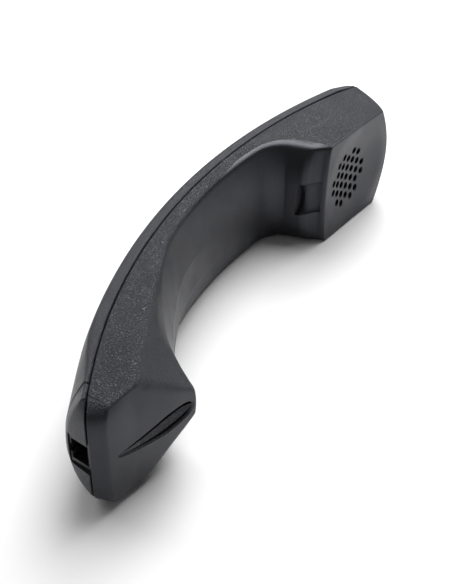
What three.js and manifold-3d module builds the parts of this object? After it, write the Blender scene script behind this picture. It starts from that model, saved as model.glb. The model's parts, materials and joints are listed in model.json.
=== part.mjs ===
// Telephone handset, modelled in millimetres as an assembly of separate pieces.
//
// Working axes: X runs along the handset towards the ear end, Y runs from the user's
// face to the back, Z runs across. The middle of the earpiece holes is at X = Y = Z = 0,
// and the ear face is the plane Y = 0. The last lines move the whole assembly so that
// it lies on its side on Z = 0, with its origin under the middle of its box.
import * as THREE from 'three';
import { mergeVertices } from 'three/addons/utils/BufferGeometryUtils.js';
import Module from 'manifold-3d';

const wasm = await Module();
wasm.setup();

// ---------------------------------------------------------------- driving dimensions

const HALF_WIDTH = 21.3;
const SIDE_TRIM = 0.4;
const WALL = 2.2;
const GAP = 0.3;
const MERGE_DISTANCE = 0.001;

// Parting line between the shells: one long arc, seen from the side.
const SEAM_CENTRE = new THREE.Vector2(-23.9, -217.5);
const SEAM_RADIUS = 245;
const BACK_EDGE_DEPTH = 4;
const BACK_CROWN_DEPTH = 7.3;

// Ear face: its end edge at the sides and at the middle of the width.
const EAR_END_X = [20.6, 27.4];
const DISH = { x: 3.5, radius: 20.3, depth: 2.4, floorRadius: 12.6 };
const HOLE = { pitch: 4.1, radius: 1.35, reach: 11, sides: 8 };

// Line where each flat side meets the grip surface, from the ear face to the mouth tip.
const GRIP_LINE = [
  [-16.2, 0], [-16.8, 6.5], [-19, 12.5], [-23.4, 18.2], [-30.5, 21.3], [-44, 21.9],
  [-62, 20.4], [-82, 16.4], [-98, 11.2], [-112, 3.2], [-126, -7.2], [-134.3, -15.6],
  [-138.4, -22.4], [-140, -27],
];
// How far the grip surface stands beyond that line at the middle of the width.
const GRIP_SWELL = { atEar: 2.7, neck: 8.9, handle: 6.7, power: 4.5, steps: 20 };

// Mouthpiece: end wall, crowned face and the two flats that slope to its tip.
// Each pair is a point of the side outline and the matching point of the middle outline.
const MOUTH_HEEL = [[-168.6, -18.2], [-171.6, -13]];
const MOUTH_SEAM = [[-168.3, -19.6], [-172.4, -22.6]];
const MOUTH_END = [[-166.8, -26], [-169.8, -27.3]];
const MOUTH_TIP = [[-142.5, -28.6], [-134.9, -31]];
const FLANK_NORMAL = new THREE.Vector3(0.402, -0.619, 0.673).normalize();
const FLANK_DISTANCE = -32.3;
const FLANK_START_X = -107;

const TONGUE = { fromX: -126, toX: 12, height: 1.6, foot: 3 };
const SLOT = { pointX: -165.5, tipX: -136.8, halfWidth: 3, depth: 4, pointDepth: 0.6 };
const HOOK = { halfWidth: 7.3, top: 1.6, bottom: 10.6, depth: 4.6 };

const JACK = { front: -171.2, back: -156, top: -22, bottom: -14.2, halfWidth: 5.6 };
const PLUG = { halfWidth: 3.95, top: -21.3, bottom: -14.8, depth: 12.7 };
const CONTACT = { pitch: 1.27, width: 0.45, length: 5.6, droop: 25, eye: 0.4 };

const RECEIVER_RADIUS = 13.4;
const CLAMP_SCREWS = [[2, 16.2], [2, -16.2], [17.2, 0]];
const BALLAST = { x: -50, y: 18.8, length: 44, width: 22, thickness: 7 };
const BALLAST_SCREW = { places: [-65, -35], length: 9.3, holeFloor: 16.4 };
const MICROPHONE = { x: -141.5, top: -24.6, radius: 4.85, length: 5 };

const COLOURS = {
  shell: [0x2b2c31, 0.55, 0],
  rubber: [0x17171a, 0.85, 0],
  nylon: [0x1d1d20, 0.5, 0],
  steel: [0x9a9da3, 0.35, 1],
  darkSteel: [0x55585e, 0.45, 1],
  gold: [0xc9a24a, 0.3, 1],
  copper: [0xb0683a, 0.4, 1],
  board: [0x2f5a3a, 0.6, 0],
  film: [0xb8b4a4, 0.35, 0],
  cloth: [0x101012, 0.95, 0],
  foam: [0x242427, 0.98, 0],
  red: [0x9c2b24, 0.5, 0],
  black: [0x141414, 0.5, 0],
  white: [0xd8d6cf, 0.5, 0],
  green: [0x2f6b3c, 0.5, 0],
};

// ---------------------------------------------------------------- solids and booleans

function toSolid(geometry) {
  const bare = geometry.index ? geometry.toNonIndexed() : geometry.clone();
  bare.deleteAttribute('normal');
  bare.deleteAttribute('uv');
  const merged = mergeVertices(bare, MERGE_DISTANCE);
  return new wasm.Manifold(new wasm.Mesh({
    numProp: 3,
    vertProperties: new Float32Array(merged.attributes.position.array),
    triVerts: new Uint32Array(merged.index.array),
  }));
}

function toGeometry(solid) {
  const mesh = solid.getMesh();
  const geometry = new THREE.BufferGeometry();
  geometry.setAttribute('position', new THREE.BufferAttribute(mesh.vertProperties, 3));
  geometry.setIndex(new THREE.BufferAttribute(mesh.triVerts, 1));
  return geometry;
}

function box(x0, x1, y0, y1, z0, z1) {
  const geometry = new THREE.BoxGeometry(x1 - x0, y1 - y0, z1 - z0);
  return toSolid(geometry.translate((x0 + x1) / 2, (y0 + y1) / 2, (z0 + z1) / 2));
}

// A cylinder whose axis runs along Y, from y0 to y1.
function post(x, z, y0, y1, radius, sides = 16) {
  const geometry = new THREE.CylinderGeometry(radius, radius, y1 - y0, sides);
  return toSolid(geometry.translate(x, (y0 + y1) / 2, z));
}

// A lathe turned about the line X = x, Z = z, from [radius, y] pairs.
function turned(x, z, profile, sides = 24) {
  const points = profile.map(([radius, y]) => new THREE.Vector2(radius, y));
  const geometry = new THREE.LatheGeometry(points, sides);
  return outward(toSolid(geometry.translate(x, 0, z)), geometry);
}

// A lathe profile read the other way round gives an inside-out solid, so it is flipped.
function outward(solid, geometry) {
  if (solid.volume() > 0) {
    return solid;
  }
  const flipped = geometry.toNonIndexed();
  const positions = flipped.attributes.position;
  for (let i = 0; i < positions.count; i += 3) {
    const [x, y, z] = [positions.getX(i), positions.getY(i), positions.getZ(i)];
    positions.setXYZ(i, positions.getX(i + 1), positions.getY(i + 1), positions.getZ(i + 1));
    positions.setXYZ(i + 1, x, y, z);
  }
  return toSolid(flipped);
}

function ring(x, z, inner, outer, y0, y1, sides = 24) {
  return post(x, z, y0, y1, outer, sides).subtract(post(x, z, y0 - 1, y1 + 1, inner, sides));
}

// An outline in X and Y, extruded across the handset between z0 and z1.
function plate(outline, z0, z1) {
  const shape = new THREE.Shape(outline.map(([x, y]) => new THREE.Vector2(x, y)));
  const geometry = new THREE.ExtrudeGeometry(shape, { depth: z1 - z0, bevelEnabled: false });
  return toSolid(geometry.translate(0, 0, z0));
}

function union(solids) {
  return solids.reduce((sum, solid) => sum.add(solid));
}

// Drops the specks that a boolean can leave where two surfaces almost touch.
function mainPart(solid) {
  const parts = toSolid(toGeometry(solid)).decompose();
  return parts.reduce((best, part) => (part.volume() > best.volume() ? part : best));
}

// ---------------------------------------------------------------- outer form

function arcPoint(radius, angle) {
  const x = SEAM_CENTRE.x + radius * Math.sin(angle);
  const y = SEAM_CENTRE.y + radius * Math.cos(angle);
  return [x, y];
}

function angleAt(x, radius) {
  return Math.asin((x - SEAM_CENTRE.x) / radius);
}

function bezier(a, b, c, steps) {
  const curve = new THREE.QuadraticBezierCurve(
    new THREE.Vector2(...a), new THREE.Vector2(...b), new THREE.Vector2(...c));
  return curve.getPoints(steps).map((p) => [p.x, p.y]);
}

// Sections hold one point of the side outline, the matching point of the middle outline,
// the half width there, and the power of the curve that joins the two across the width.
function section(side, mid, halfWidth, power) {
  return { side, mid, halfWidth, power };
}

function earEndSections() {
  const side = bezier([EAR_END_X[0], 0], [26.9, 6], [33.4, 21.7], 4);
  const mid = bezier([EAR_END_X[1], 0], [33, 6], [38.7, 20.6], 4);
  return side.map((point, i) => section(point, mid[i], 21 - 0.2 * i, 2));
}

function backSections() {
  const steps = 11;
  const [startX, endX, midLag, mouthTrim] = [24, -163.5, 5.5, 0.4];
  const sideRadius = SEAM_RADIUS + BACK_EDGE_DEPTH;
  const midRadius = SEAM_RADIUS + BACK_CROWN_DEPTH;
  const sections = [];
  for (let i = 0; i <= steps; i += 1) {
    const t = i / steps;
    const x = THREE.MathUtils.lerp(startX, endX, t);
    const taper = 2.4 * THREE.MathUtils.smoothstep(-x, 146, 165);
    const side = arcPoint(sideRadius - taper, angleAt(x, sideRadius - taper));
    const mid = arcPoint(midRadius, angleAt(x - midLag * t, midRadius));
    sections.push(section(side, mid, HALF_WIDTH - mouthTrim * t ** 6, 2.6));
  }
  return sections;
}

function gripSections() {
  const points = GRIP_LINE.map(([x, y]) => new THREE.Vector3(x, y, 0));
  const curve = new THREE.CatmullRomCurve3(points, false, 'centripetal');
  const { atEar, neck, handle, power, steps } = GRIP_SWELL;
  const sections = [];
  for (let i = 0; i <= steps; i += 1) {
    const t = (1 - i / steps) ** 1.3;
    const p = curve.getPointAt(t);
    const tangent = curve.getTangentAt(t);
    const swell = THREE.MathUtils.lerp(atEar, neck, THREE.MathUtils.smoothstep(t, 0, 0.065))
      + (handle - neck) * THREE.MathUtils.smoothstep(t, 0.06, 0.19);
    const out = t > 0 ? [-tangent.y, tangent.x] : [-1, 0];
    const mid = [p.x + out[0] * swell, p.y + out[1] * swell];
    sections.push(section([p.x, p.y], mid, HALF_WIDTH, power));
  }
  return sections;
}

function outerSections() {
  return [
    ...earEndSections(),
    section([32, 24], [37.3, 25], 20.4, 2),
    section([29.5, 27], [34.5, 29.2], 20.7, 2.3),
    ...backSections(),
    section(...MOUTH_HEEL, 20.9, 2.2),
    section(...MOUTH_SEAM, 20.9, 4),
    section(...MOUTH_END, 20.6, 4),
    section(...MOUTH_TIP, HALF_WIDTH, 2),
    ...gripSections(),
  ];
}

// Moves a closed outline inwards by a distance, along the corner bisectors.
function inset(outline, distance) {
  return outline.map((point, i) => {
    const before = outline[(i + outline.length - 1) % outline.length];
    const after = outline[(i + 1) % outline.length];
    const a = new THREE.Vector2(point[0] - before[0], point[1] - before[1]).normalize();
    const b = new THREE.Vector2(after[0] - point[0], after[1] - point[1]).normalize();
    const normal = new THREE.Vector2(-a.y - b.y, a.x + b.x).normalize();
    const stretch = 1 / Math.max(0.5, normal.dot(new THREE.Vector2(-a.y, a.x)));
    return [point[0] + normal.x * distance * stretch, point[1] + normal.y * distance * stretch];
  });
}

// The closed body that lies a given distance inside the outer form.
function body(distance) {
  const sections = outerSections();
  const sides = inset(sections.map((s) => s.side), distance);
  const mids = inset(sections.map((s) => s.mid), distance);
  const across = [-1, -0.9, -0.75, -0.45, 0, 0.45, 0.75, 0.9, 1];
  const count = sections.length;
  const positions = [];
  for (const u of across) {
    sections.forEach((s, i) => {
      const blend = 1 - Math.abs(u) ** s.power;
      const x = THREE.MathUtils.lerp(sides[i][0], mids[i][0], blend);
      const y = THREE.MathUtils.lerp(sides[i][1], mids[i][1], blend);
      positions.push(x, y, u * (s.halfWidth + SIDE_TRIM - distance));
    });
  }
  const triangles = [];
  for (let j = 0; j + 1 < across.length; j += 1) {
    for (let i = 0; i < count; i += 1) {
      const a = j * count + i;
      const b = j * count + (i + 1) % count;
      triangles.push(a, b, b + count, a, b + count, a + count);
    }
  }
  const outline = sections.map((s) => new THREE.Vector2(...s.side));
  const last = (across.length - 1) * count;
  for (const [a, b, c] of THREE.ShapeUtils.triangulateShape(outline, [])) {
    triangles.push(a, c, b, last + a, last + b, last + c);
  }
  const geometry = new THREE.BufferGeometry();
  geometry.setAttribute('position', new THREE.Float32BufferAttribute(positions, 3));
  geometry.setIndex(triangles);
  const solid = outward(toSolid(geometry), geometry);
  const flatSides = box(-260, 120, -90, 90, distance - HALF_WIDTH, HALF_WIDTH - distance);
  return solid.intersect(flatSides)
    .subtract(flankCutter(distance, 1)).subtract(flankCutter(distance, -1));
}

// Everything outside one of the two sloping flats of the mouthpiece.
function flankCutter(distance, sideSign) {
  const size = 120;
  const normal = FLANK_NORMAL.clone();
  normal.z *= sideSign;
  const block = new THREE.BoxGeometry(size, size, size).translate(0, 0, size / 2);
  const turn = new THREE.Quaternion().setFromUnitVectors(new THREE.Vector3(0, 0, 1), normal);
  const base = new THREE.Vector3(-140, -20, sideSign * 12);
  const shift = FLANK_DISTANCE - distance - base.dot(normal);
  base.addScaledVector(normal, shift);
  block.applyQuaternion(turn).translate(base.x, base.y, base.z);
  return toSolid(block).intersect(box(-260, FLANK_START_X, -120, 60, -120, 120));
}

// Everything behind the parting arc, moved back by a distance.
function behindSeam(distance) {
  const outline = [];
  const steps = 20;
  for (let i = 0; i <= steps; i += 1) {
    const angle = THREE.MathUtils.degToRad(22 - 66 * (i / steps));
    outline.push(arcPoint(SEAM_RADIUS + distance, angle));
  }
  outline.push([-260, 90], [90, 90]);
  return plate(outline, -40, 40);
}

// ---------------------------------------------------------------- shells

function holeCentres() {
  const centres = [];
  const rowStep = HOLE.pitch * Math.sqrt(3) / 2;
  for (let row = -3; row <= 3; row += 1) {
    for (let place = -4; place <= 4; place += 1) {
      const x = row * rowStep;
      const z = (place + (row % 2 === 0 ? 0 : 0.5)) * HOLE.pitch;
      if (Math.hypot(x, z) < HOLE.reach) {
        centres.push([x, z]);
      }
    }
  }
  return centres;
}

function earDish() {
  const { x, radius, depth, floorRadius } = DISH;
  const sphereRadius = (radius ** 2 + depth ** 2) / (2 * depth);
  const middle = (radius + floorRadius) / 2;
  const sag = depth - sphereRadius + Math.sqrt(sphereRadius ** 2 - middle ** 2);
  return turned(x, 0, [[0, -1], [radius + 2, -1], [radius, 0], [middle, sag],
    [floorRadius, depth], [0, depth]], 32);
}

function hookPocket() {
  const { halfWidth, top, bottom, depth } = HOOK;
  const outline = [[-40, top], [-20.2, top], [-20.4 + depth, bottom], [-40, bottom]];
  return plate(outline, -halfWidth, halfWidth);
}

function slotOutline(grow) {
  const { pointX, tipX, halfWidth } = SLOT;
  const shape = new THREE.Shape();
  shape.moveTo(pointX - 2 * grow, 0);
  shape.quadraticCurveTo(-152, halfWidth + grow, -142, halfWidth + grow);
  shape.quadraticCurveTo(tipX + grow, halfWidth + grow, tipX + grow, 0);
  shape.quadraticCurveTo(tipX + grow, -halfWidth - grow, -142, -halfWidth - grow);
  shape.quadraticCurveTo(-152, -halfWidth - grow, pointX - 2 * grow, 0);
  return shape;
}

// A body with the slot's outline, open towards the user's face, with a sloping floor.
function slotBody(grow) {
  const { pointX, tipX, depth, pointDepth } = SLOT;
  const geometry = new THREE.ExtrudeGeometry(slotOutline(grow), {
    depth: 20, bevelEnabled: false, curveSegments: 6,
  });
  geometry.rotateX(Math.PI / 2);
  geometry.translate(-pointX, 0, 0);
  geometry.rotateZ(Math.atan2(depth - pointDepth - 2.6, tipX - pointX));
  geometry.translate(pointX, -28 + pointDepth + grow, 0);
  return toSolid(geometry);
}

function frontShell(outer, cavity) {
  const dishBacking = turned(DISH.x, 0, [[0, -1], [22, -1], [22, 5], [0, 5]], 24);
  const hookBacking = plate([[-30, 0], [-17.6, 0], [-14.1, 12.6], [-30, 12.6]], -9, 9);
  const backing = union([dishBacking, hookBacking, slotBody(1.8)]).intersect(outer);
  let shell = outer.subtract(cavity).add(backing);
  shell = shell.subtract(earDish()).subtract(hookPocket()).subtract(slotBody(0));
  const holes = holeCentres().map(([x, z]) => post(x, z, -1, 8, HOLE.radius, HOLE.sides));
  shell = shell.subtract(union(holes));
  shell = shell.subtract(post(-140, 0, -32, -20, 1.1, 10));
  const clampBosses = CLAMP_SCREWS.map(([x, z]) => post(x, z, 3.9, 18, 2.5));
  const ballastBosses = BALLAST_SCREW.places.map((x) => post(x, 0, 6, BALLAST.y - GAP, 3.2));
  shell = shell.add(union([...clampBosses, ...ballastBosses]).intersect(outer));
  for (const [x, z] of CLAMP_SCREWS) {
    shell = shell.subtract(post(x, z, 9, 19, 1.15, 12));
  }
  for (const x of BALLAST_SCREW.places) {
    shell = shell.subtract(post(x, 0, BALLAST_SCREW.holeFloor, 30, 1.45, 12));
  }
  return mainPart(shell.subtract(behindSeam(-GAP / 2)).subtract(jackOpening(0)));
}

// Room for the jack in the mouth end; extra is added on its side towards the face.
function jackOpening(extra) {
  return box(-190, JACK.back - 0.5, JACK.top - GAP - extra, JACK.bottom + GAP,
    -JACK.halfWidth - GAP, JACK.halfWidth + GAP);
}

// A rail along one side of the rear shell, standing up inside the front shell's wall.
function tongue(sideSign) {
  const inner = HALF_WIDTH - WALL - 1.4;
  const rail = tongueStrip(-TONGUE.height, TONGUE.foot, inner, inner + 1);
  const foot = tongueStrip(GAP / 2 + 0.1, TONGUE.foot, inner, inner + 2.2);
  const both = rail.add(foot);
  return sideSign > 0 ? both : both.mirror([0, 0, 1]);
}

// The stretch between two distances from the parting arc, extruded across from z0 to z1.
function tongueStrip(near, far, z0, z1) {
  const start = angleAt(TONGUE.fromX, SEAM_RADIUS);
  const end = angleAt(TONGUE.toX, SEAM_RADIUS);
  const steps = 14;
  const outline = [];
  for (let i = 0; i <= steps; i += 1) {
    outline.push(arcPoint(SEAM_RADIUS + near, THREE.MathUtils.lerp(start, end, i / steps)));
  }
  for (let i = steps; i >= 0; i -= 1) {
    outline.push(arcPoint(SEAM_RADIUS + far, THREE.MathUtils.lerp(start, end, i / steps)));
  }
  return plate(outline, z0, z1);
}

function rearShell(outer, cavity) {
  const shell = outer.subtract(cavity).intersect(behindSeam(GAP / 2)).subtract(jackOpening(2));
  return mainPart(shell.add(tongue(1)).add(tongue(-1)));
}

// ---------------------------------------------------------------- receiver

function receiverPieces() {
  const r = RECEIVER_RADIUS;
  const cover = post(0, 0, 7.3, 8.3, r, 28);
  const coverHoles = [0, 1, 2, 3, 4, 5].map((i) => {
    const angle = i * Math.PI / 3;
    return post(6.5 * Math.cos(angle), 6.5 * Math.sin(angle), 7, 9, 1.4, 12);
  });
  const frame = ring(0, 0, 12.3, r, 8.6, 14, 28).add(ring(0, 0, 7.8, r, 14, 15.4, 28));
  const yoke = ring(0, 0, 6.3, 7.5, 11, 15.3, 24).add(post(0, 0, 15.3, 16.6, 7.5, 24));
  const board = post(0, 0, 16.9, 17.9, 9, 28).subtract(box(-3, 3, 16, 19, -12, -7.4));
  return [
    ['receiver_dust_screen', post(0, 0, 5.3, 5.6, 12.9, 36), 'cloth'],
    ['receiver_gasket', ring(0, 0, 10.6, r, 5.9, 7, 28), 'foam'],
    ['receiver_cover', cover.subtract(union(coverHoles)), 'nylon'],
    ['receiver_frame', frame, 'nylon'],
    ['receiver_diaphragm', diaphragm(), 'film'],
    ['receiver_voice_coil', ring(0, 0, 5.35, 5.95, 10.5, 13.6, 24), 'copper'],
    ['receiver_top_plate', post(0, 0, 11, 11.9, 5, 32), 'darkSteel'],
    ['receiver_magnet', post(0, 0, 12.2, 15, 4.6, 32), 'darkSteel'],
    ['receiver_yoke', yoke, 'steel'],
    ['receiver_terminal_board', board, 'board'],
    ['receiver_clamp', clamp(), 'nylon'],
  ];
}

// A thin dome with a rolled edge, turned as one closed profile.
function diaphragm() {
  return turned(0, 0, [[0, 8.75], [3, 8.95], [5.6, 9.7], [8.5, 9.1], [11.8, 9.7],
    [11.8, 10.1], [8.5, 9.5], [5.6, 10.1], [3, 9.35], [0, 9.15]], 24);
}

function clamp() {
  let solid = ring(0, 0, 6, RECEIVER_RADIUS, 18.3, 19.8, 28);
  for (const [x, z] of CLAMP_SCREWS) {
    const reach = Math.hypot(x, z);
    const arm = new THREE.BoxGeometry(reach - 8, 1.5, 5.4);
    arm.translate((reach + 8) / 2, 19.05, 0).rotateY(-Math.atan2(z, x));
    solid = solid.add(toSolid(arm)).add(post(x, z, 18.3, 19.8, 2.7));
  }
  for (const [x, z] of CLAMP_SCREWS) {
    solid = solid.subtract(post(x, z, 17, 21, 1.35, 12));
  }
  return solid;
}

// A pan-head screw along Y: head from headY, shank towards the face, cross recess on top.
function screw(x, z, headY, length, radius, headRadius) {
  const headHeight = headRadius * 0.75;
  const shank = post(x, z, headY - length, headY + 0.2, radius, 8);
  const head = turned(x, z, [[0, headY], [headRadius, headY], [headRadius, headY + headHeight * 0.5],
    [headRadius * 0.6, headY + headHeight], [0, headY + headHeight]], 14);
  const top = headY + headHeight;
  const wide = headRadius * 0.5;
  const slim = headRadius * 0.14;
  const recess = box(x - wide, x + wide, top - 0.6, top + 1, z - slim, z + slim)
    .add(box(x - slim, x + slim, top - 0.6, top + 1, z - wide, z + wide));
  return shank.add(head).subtract(recess);
}

// ---------------------------------------------------------------- ballast

function ballast() {
  const { x, y, length, width, thickness } = BALLAST;
  const corner = 3;
  const shape = new THREE.Shape();
  const [a, b] = [length / 2, width / 2];
  shape.moveTo(-a + corner, -b);
  shape.lineTo(a - corner, -b);
  shape.absarc(a - corner, -b + corner, corner, -Math.PI / 2, 0);
  shape.absarc(a - corner, b - corner, corner, 0, Math.PI / 2);
  shape.absarc(-a + corner, b - corner, corner, Math.PI / 2, Math.PI);
  shape.absarc(-a + corner, -b + corner, corner, Math.PI, 1.5 * Math.PI);
  const geometry = new THREE.ExtrudeGeometry(shape, {
    depth: thickness, bevelEnabled: false, curveSegments: 4,
  });
  geometry.rotateX(Math.PI / 2).translate(x, y + thickness, 0);
  let solid = toSolid(geometry);
  for (const holeX of BALLAST_SCREW.places) {
    solid = solid.subtract(post(holeX, 0, y - 1, y + thickness + 1, 1.9, 16));
  }
  return solid;
}

// ---------------------------------------------------------------- microphone

function microphonePieces() {
  const { x, top, radius, length } = MICROPHONE;
  const bottom = top + 1.4 + length;
  const boot = post(x, 0, top + 0.4, bottom, radius + 1.3, 32)
    .subtract(post(x, 0, top + 1.4, bottom + 1, radius + GAP, 32))
    .subtract(post(x + 1.5, 0, top - 1, top + 2, 1.1, 10));
  const can = turned(x, 0, [[0, top + 2.3], [radius, top + 2.3], [radius, bottom + 0.6],
    [radius - 0.8, bottom + 0.6], [radius - 0.8, bottom - 0.2], [0, bottom - 0.2]], 32)
    .subtract(post(x + 1.5, 0, top + 2, top + 3, 0.9, 10));
  return [
    ['microphone_boot', boot, 'rubber'],
    ['microphone_dust_mesh', post(x, 0, top + 1.7, top + 2, radius - 0.3, 28), 'cloth'],
    ['microphone_capsule', can, 'steel'],
    ['microphone_board', post(x, 0, bottom + 0.1, bottom + 0.9, radius - 1.1, 24), 'board'],
  ];
}

// ---------------------------------------------------------------- jack

function jackHousing() {
  const { front, back, top, bottom, halfWidth } = JACK;
  const plugBack = front + PLUG.depth;
  let solid = box(front, back, top, bottom, -halfWidth, halfWidth);
  solid = solid.subtract(box(front - 1, plugBack, PLUG.top, PLUG.bottom, -PLUG.halfWidth, PLUG.halfWidth));
  solid = solid.subtract(box(front - 1, front + 7, PLUG.bottom - 1, bottom + 1, -1.6, 1.6));
  for (const z of contactPlaces()) {
    solid = solid.subtract(box(plugBack - 1, back + 1, PLUG.top + 0.15, PLUG.top + 1.25, z - 0.5, z + 0.5));
  }
  return solid;
}

function contactPlaces() {
  return [-1.5, -0.5, 0.5, 1.5].map((step) => step * CONTACT.pitch);
}

function contactPivot() {
  return [JACK.front + PLUG.depth - 0.8, PLUG.top + 0.75];
}

// A flat spring finger that droops from a rolled eye at its root towards the plug's way in.
function contact(z) {
  const [px, py] = contactPivot();
  const half = CONTACT.width / 2;
  const finger = new THREE.BoxGeometry(CONTACT.length, 0.3, CONTACT.width);
  finger.translate(-CONTACT.length / 2, 0, 0);
  finger.rotateZ(-THREE.MathUtils.degToRad(CONTACT.droop)).translate(px, py, z);
  const eye = new THREE.CylinderGeometry(CONTACT.eye, CONTACT.eye, CONTACT.width, 12);
  eye.rotateX(Math.PI / 2).translate(px, py, z);
  const droop = THREE.MathUtils.degToRad(CONTACT.droop);
  const tip = [px - CONTACT.length * Math.cos(droop), py + CONTACT.length * Math.sin(droop)];
  const toe = plate([[tip[0] + 0.2, tip[1] - 0.25], [tip[0] + 0.2, tip[1] + 0.05],
    [tip[0] - 0.9, tip[1] - 0.45], [tip[0] - 0.9, tip[1] - 0.75]], z - half, z + half);
  return toSolid(finger).add(toSolid(eye)).add(toe);
}

function jackBoard() {
  const { back, top, bottom } = JACK;
  const pinStart = contactPivot()[0] + CONTACT.eye + GAP;
  let solid = box(back + GAP, back + GAP + 1, top + 0.3, bottom - 0.3, -5.2, 5.2);
  for (const z of contactPlaces()) {
    solid = solid.add(box(pinStart, back + 1, PLUG.top + 0.5, PLUG.top + 0.95, z - 0.2, z + 0.2));
  }
  return solid;
}

// ---------------------------------------------------------------- wires

// A round lead along a smooth route, as one closed tube.
function lead(route, radius = 0.6) {
  const curve = new THREE.CatmullRomCurve3(route.map((p) => new THREE.Vector3(...p)));
  const circle = new THREE.Shape().absarc(0, 0, radius, 0, 2 * Math.PI);
  const geometry = new THREE.ExtrudeGeometry(circle, {
    steps: Math.round(curve.getLength() / 5), curveSegments: 6, extrudePath: curve,
  });
  return outward(toSolid(geometry), geometry);
}

function receiverLead(z, boardZ) {
  const { back, bottom } = JACK;
  return lead([
    [back + 2, bottom - 4, z * 0.25], [-148, -10.5, z * 0.7], [-135, -1, z], [-118, 9, z],
    [-98, 16.5, z], [-76, 21.8, z], [-52, 24, z], [-36, 24.5, z], [-20, 24, z * 0.7],
    [-7, 23, boardZ * 1.5], [-3.4, 21, boardZ], [-3.4, 18.3, boardZ],
  ]);
}

function microphoneLead(z) {
  const { x, top, length } = MICROPHONE;
  const boardY = top + 1.4 + length + 1.3;
  return lead([
    [JACK.back + 2, JACK.top + 3, z], [-150.5, -16.5, z * 1.5],
    [-145.5, -13.6, z * 1.2], [x, -14.2, z * 0.8], [x, boardY, z * 0.8],
  ]);
}

// ---------------------------------------------------------------- assembly

const outerBody = body(0);
const cavityBody = body(WALL);

const pieces = [
  ['front_shell', frontShell(outerBody, cavityBody), 'shell'],
  ['rear_shell', rearShell(outerBody, cavityBody), 'shell'],
  ...receiverPieces(),
  ...CLAMP_SCREWS.map(([x, z], i) => [`receiver_clamp_screw_${i + 1}`,
    screw(x, z, 20.1, 8, 0.85, 2), 'steel']),
  ['ballast_weight', ballast(), 'steel'],
  ...BALLAST_SCREW.places.map((x, i) => [`ballast_screw_${i + 1}`,
    screw(x, 0, BALLAST.y + BALLAST.thickness + GAP, BALLAST_SCREW.length, 1.15, 2.6), 'darkSteel']),
  ...microphonePieces(),
  ['jack_housing', jackHousing(), 'nylon'],
  ...contactPlaces().map((z, i) => [`jack_contact_${i + 1}`, contact(z), 'gold']),
  ['jack_terminal_board', jackBoard(), 'board'],
  ['receiver_lead_red', receiverLead(13, 2.4), 'red'],
  ['receiver_lead_black', receiverLead(-13, -2.4), 'black'],
  ['microphone_lead_white', microphoneLead(1.9), 'white'],
  ['microphone_lead_green', microphoneLead(-1.9), 'green'],
];

const handset = new THREE.Group();
for (const [name, solid, colour] of pieces) {
  const [color, roughness, metalness] = COLOURS[colour];
  const material = new THREE.MeshStandardMaterial({ color, roughness, metalness });
  const mesh = new THREE.Mesh(toGeometry(solid), material);
  mesh.name = name;
  handset.add(mesh);
}

const bounds = new THREE.Box3().setFromObject(handset);
handset.position.set(
  -(bounds.min.x + bounds.max.x) / 2, -(bounds.min.y + bounds.max.y) / 2, -bounds.min.z);

export default handset;
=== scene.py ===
"""A desk telephone's handset, dressed around its CAD frame.

The shells are rebuilt as fine skins over the CAD ones, from the same driving dimensions.
Shapes are worked out in millimetres in the working axes that part.mjs also uses: X runs
towards the ear end, Y from the user's face to the back, Z across, with the middle of the
earpiece holes at zero. place() turns them into metres in the part's own frame.
"""
import json
import math

import bmesh
import bpy
import numpy as np
from mathutils import Matrix, Vector


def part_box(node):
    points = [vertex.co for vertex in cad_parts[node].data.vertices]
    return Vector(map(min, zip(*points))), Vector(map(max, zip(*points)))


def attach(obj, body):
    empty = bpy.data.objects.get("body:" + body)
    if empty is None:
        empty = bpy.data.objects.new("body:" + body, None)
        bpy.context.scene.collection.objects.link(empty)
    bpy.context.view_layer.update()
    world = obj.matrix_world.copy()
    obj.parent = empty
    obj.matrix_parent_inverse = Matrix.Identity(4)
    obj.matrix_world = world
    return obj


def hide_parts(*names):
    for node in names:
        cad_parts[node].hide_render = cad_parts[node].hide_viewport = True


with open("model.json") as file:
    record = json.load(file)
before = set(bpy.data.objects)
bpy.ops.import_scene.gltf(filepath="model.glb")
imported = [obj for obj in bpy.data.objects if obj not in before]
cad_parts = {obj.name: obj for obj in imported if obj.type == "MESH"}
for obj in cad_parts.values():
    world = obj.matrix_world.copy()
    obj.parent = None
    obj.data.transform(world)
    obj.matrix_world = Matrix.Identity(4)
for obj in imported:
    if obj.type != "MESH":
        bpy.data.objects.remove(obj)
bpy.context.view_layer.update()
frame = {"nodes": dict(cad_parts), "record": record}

# ------------------------------------------------------------------ driving dimensions, mm

MM = 0.001
HALF_WIDTH = 21.3
WALL = 2.2

# The seam between the shells: an arc, as seen from the side.
SEAM_CENTRE = (-23.9, -217.5)
SEAM_RADIUS = 245.0
SEAM_GAP = 0.34
SEAM_CHAMFER = 0.28

# In a pair, the first is at the side edges and the second is along the middle of the width.
MOUTH_SEAM_X = (-168.3, -172.4)
EAR_SEAM_X = (33.3, 38.7)
EAR_INNER_X = (-16.2, -18.9)
EAR_END_X = (20.6, 27.4)
EAR_END_BEND = ((26.9, 6.0), (33.0, 6.0))
MOUTH_TIP = ((-142.5, -28.6), (-134.9, -31.0))
MOUTH_END = ((-166.8, -26.0), (-169.8, -27.3))

# How far each side draws in towards the two ends.
MOUTH_TAPER = 2.1
MOUTH_TAPER_X = -140.0
MOUTH_TAPER_LENGTH = 28.0
EAR_TAPER = 0.9

# The back: its height over the seam at the sides and along the middle, and its two ends.
BACK_EDGE = 4.0
BACK_CROWN = 7.3
BACK_END_X = (24.0, -163.5)
BACK_EAR_CORNER = ((31.6, 24.6), (36.9, 25.4))
BACK_MOUTH_CORNER = ((-168.6, -18.2), (-171.6, -13.0))

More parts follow.
